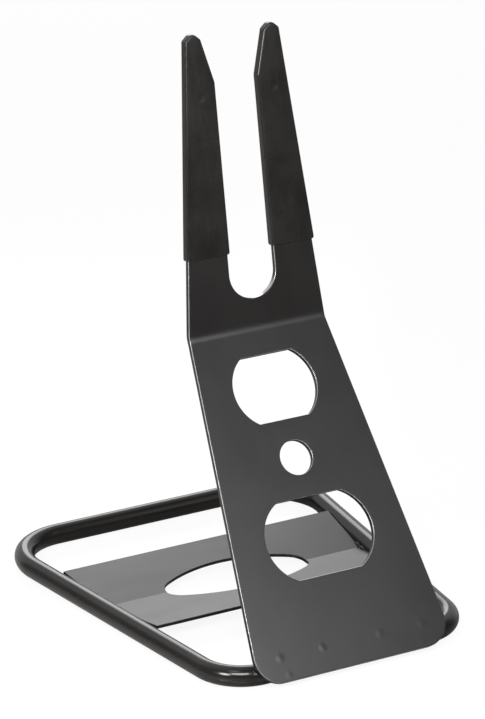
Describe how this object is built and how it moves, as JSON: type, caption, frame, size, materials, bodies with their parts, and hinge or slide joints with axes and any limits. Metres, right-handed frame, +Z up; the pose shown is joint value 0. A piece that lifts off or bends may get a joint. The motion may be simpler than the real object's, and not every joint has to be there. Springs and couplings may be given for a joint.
{
  "type": "bicycle hub floor stand",
  "caption": "Welded floor stand that holds a bicycle upright by its rear hub between two sleeved prongs on a bent steel plate.",
  "frame": {"origin": "middle of the footprint, on the floor", "axes": "+Z up, +Y from the foot of the panel towards the back run of the loop, +X to the right as seen from the front"},
  "size_m": [0.2738, 0.3248, 0.4408],
  "materials": {
    "powder_coat": "satin black powder coat on steel",
    "sleeve": "semi-matt black soft vinyl"
  },
  "bodies": {
    "root": {"base_tube": "powder_coat", "upright_plate": "powder_coat", "cross_plate": "powder_coat", "sleeve_left": "sleeve", "sleeve_right": "sleeve", "upright_weld_beads": "powder_coat", "cross_plate_weld_beads": "powder_coat", "tube_seam_weld": "powder_coat"}
  },
  "joints": []
}
